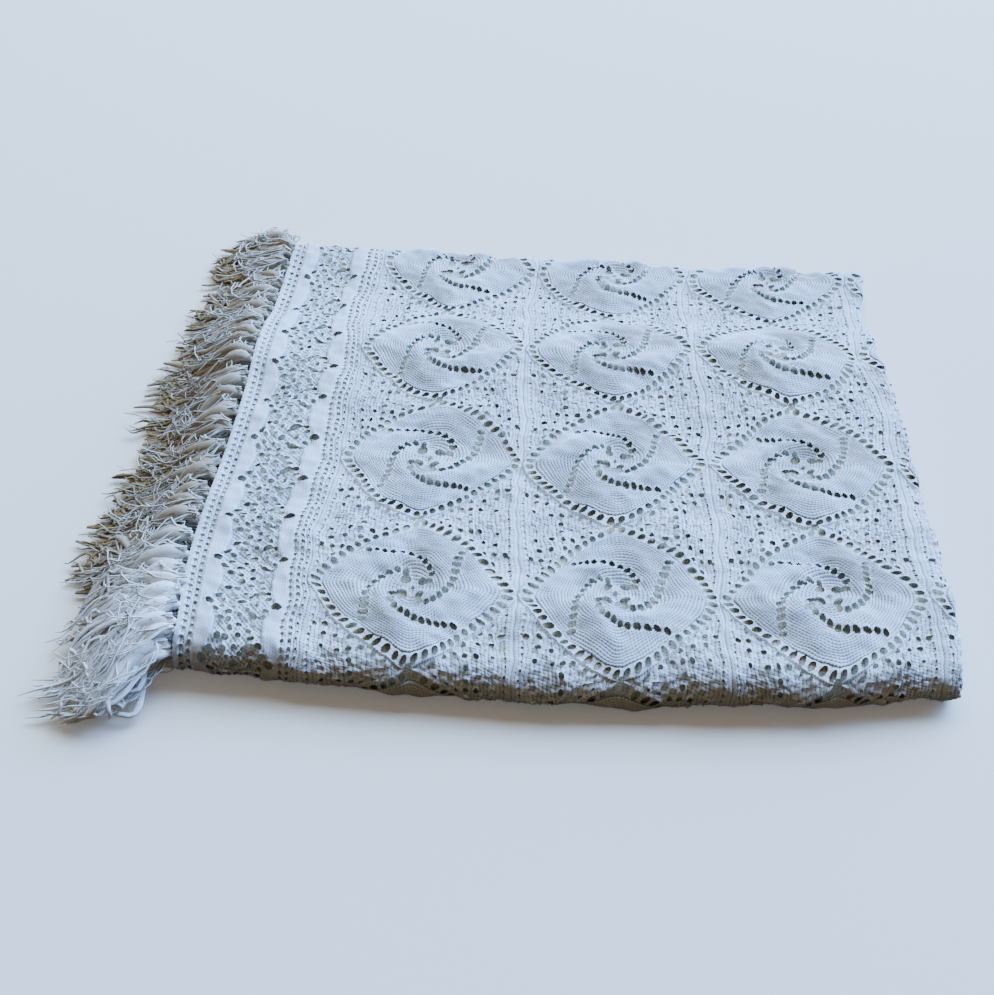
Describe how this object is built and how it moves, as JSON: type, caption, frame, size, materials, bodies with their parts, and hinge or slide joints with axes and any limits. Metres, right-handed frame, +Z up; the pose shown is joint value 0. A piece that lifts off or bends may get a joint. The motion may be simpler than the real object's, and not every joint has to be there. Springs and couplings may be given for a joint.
{
  "type": "folded crochet bedspread",
  "caption": "White cotton crochet bedspread of lace squares with a lace border and long knotted fringe, folded into a flat stack.",
  "frame": {"origin": "centre of the folded bedspread's box, on the surface it lies on", "axes": "+Z up, -X towards the fringed edges, -Y towards the thick front fold"},
  "size_m": [0.6814, 0.5804, 0.041],
  "materials": {
    "field": "matt white cotton crochet",
    "border_a": "matt white cotton lace",
    "border_b": "matt white cotton lace",
    "fringe_a": "matt white cotton yarn",
    "fringe_b": "matt white cotton yarn"
  },
  "bodies": {
    "root": {"field": "field", "border_a": "border_a", "border_b": "border_b", "fringe_a": "fringe_a", "fringe_b": "fringe_b"}
  },
  "joints": []
}
